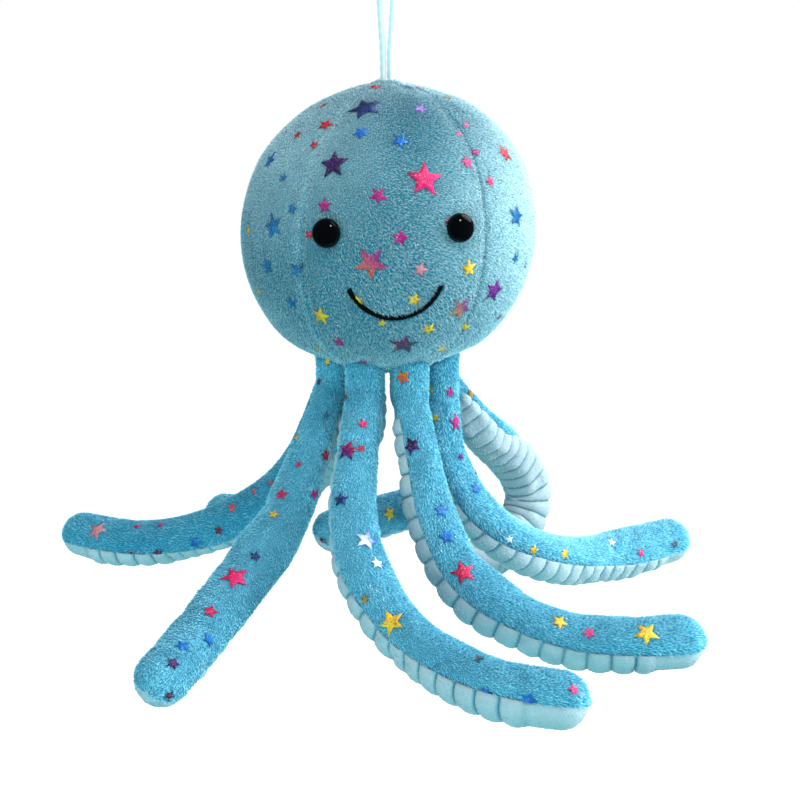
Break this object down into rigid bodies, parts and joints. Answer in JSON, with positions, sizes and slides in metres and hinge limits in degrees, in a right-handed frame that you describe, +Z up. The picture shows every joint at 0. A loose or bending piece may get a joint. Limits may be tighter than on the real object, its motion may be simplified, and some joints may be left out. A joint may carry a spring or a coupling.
{
  "type": "plush octopus",
  "caption": "Stuffed plush octopus with a round sewn head, domed eyes, a stitched smile, long soft arms with ribbed undersides and a hanging loop of cord.",
  "frame": {"origin": "where a hook bears, on the inside of the hanging loop's top bend", "axes": "+Z up along the hanging cord, -Y towards the viewer of the face, +X to that viewer's right"},
  "size_m": [0.3261, 0.269, 0.2964],
  "materials": {
    "blue_plush": "short-pile plush, aqua blue with a printed foil star pattern",
    "white_plush": "short-pile plush, white, gathered into ribs",
    "stuffing": "white polyester fibre filling",
    "black_plastic": "glossy black moulded dome",
    "washer_plastic": "natural white moulding",
    "black_thread": "black embroidery thread in satin stitch",
    "cord": "thin twisted cord, pale blue"
  },
  "bodies": {
    "cord": {"hang_loop": "cord", "loop_knot": "cord"},
    "head": {"face_panel": "blue_plush", "right_panel": "blue_plush", "back_right_panel": "blue_plush", "back_left_panel": "blue_plush", "left_panel": "blue_plush", "base_disc": "blue_plush", "head_filling": "stuffing", "eye_left": "black_plastic", "eye_right": "black_plastic", "eye_washer_left": "washer_plastic", "eye_washer_right": "washer_plastic", "mouth_thread": "black_thread"},
    "arm_front_left": {"arm_front_left_top": "blue_plush", "arm_front_left_underside": "white_plush", "arm_front_left_filling": "stuffing"},
    "arm_front_right": {"arm_front_right_top": "blue_plush", "arm_front_right_underside": "white_plush", "arm_front_right_filling": "stuffing"},
    "arm_right_front": {"arm_right_front_top": "blue_plush", "arm_right_front_underside": "white_plush", "arm_right_front_filling": "stuffing"},
    "arm_right_back": {"arm_right_back_top": "blue_plush", "arm_right_back_underside": "white_plush", "arm_right_back_filling": "stuffing"},
    "arm_back_right": {"arm_back_right_top": "blue_plush", "arm_back_right_underside": "white_plush", "arm_back_right_filling": "stuffing"},
    "arm_back_left": {"arm_back_left_top": "blue_plush", "arm_back_left_underside": "white_plush", "arm_back_left_filling": "stuffing"},
    "arm_left_back": {"arm_left_back_top": "blue_plush", "arm_left_back_underside": "white_plush", "arm_left_back_filling": "stuffing"},
    "arm_left_front": {"arm_left_front_top": "blue_plush", "arm_left_front_underside": "white_plush", "arm_left_front_filling": "stuffing"}
  },
  "joints": [
    {"name": "head_swing", "type": "hinge", "parent": "cord", "child": "head", "pos_m": [0, 0, -0.0588], "axis": [1, 0, 0], "range_deg": [-18, 18]},
    {"name": "front_left_lift", "type": "hinge", "parent": "head", "child": "arm_front_left", "pos_m": [-0.00965, -0.0233, -0.18779], "axis": [-0.9239, 0.3827, 0], "range_deg": [-10, 45], "stiffness_Nm_per_rad": 0.02, "springref_deg": 6.76},
    {"name": "front_right_lift", "type": "hinge", "parent": "head", "child": "arm_front_right", "pos_m": [0.00965, -0.0233, -0.18779], "axis": [-0.9239, -0.3827, 0], "range_deg": [-10, 45], "stiffness_Nm_per_rad": 0.02, "springref_deg": 6.65},
    {"name": "right_front_lift", "type": "hinge", "parent": "head", "child": "arm_right_front", "pos_m": [0.0233, -0.00965, -0.18779], "axis": [-0.3827, -0.9239, 0], "range_deg": [-8, 45], "stiffness_Nm_per_rad": 0.02, "springref_deg": 5.9},
    {"name": "right_back_lift", "type": "hinge", "parent": "head", "child": "arm_right_back", "pos_m": [0.0233, 0.00965, -0.18779], "axis": [0.3827, -0.9239, 0], "range_deg": [-10, 45], "stiffness_Nm_per_rad": 0.02, "springref_deg": 3.72},
    {"name": "back_right_lift", "type": "hinge", "parent": "head", "child": "arm_back_right", "pos_m": [0.00965, 0.0233, -0.18779], "axis": [0.9239, -0.3827, 0], "range_deg": [-10, 45], "stiffness_Nm_per_rad": 0.02, "springref_deg": 5.5},
    {"name": "back_left_lift", "type": "hinge", "parent": "head", "child": "arm_back_left", "pos_m": [-0.00965, 0.0233, -0.18779], "axis": [0.9239, 0.3827, 0], "range_deg": [-5, 45], "stiffness_Nm_per_rad": 0.02, "springref_deg": 6.93},
    {"name": "left_back_lift", "type": "hinge", "parent": "head", "child": "arm_left_back", "pos_m": [-0.0233, 0.00965, -0.18779], "axis": [0.3827, 0.9239, 0], "range_deg": [-10, 45], "stiffness_Nm_per_rad": 0.02, "springref_deg": 9.17},
    {"name": "left_front_lift", "type": "hinge", "parent": "head", "child": "arm_left_front", "pos_m": [-0.0233, -0.00965, -0.18779], "axis": [-0.3827, 0.9239, 0], "range_deg": [-10, 45], "stiffness_Nm_per_rad": 0.02, "springref_deg": 5.9}
  ]
}
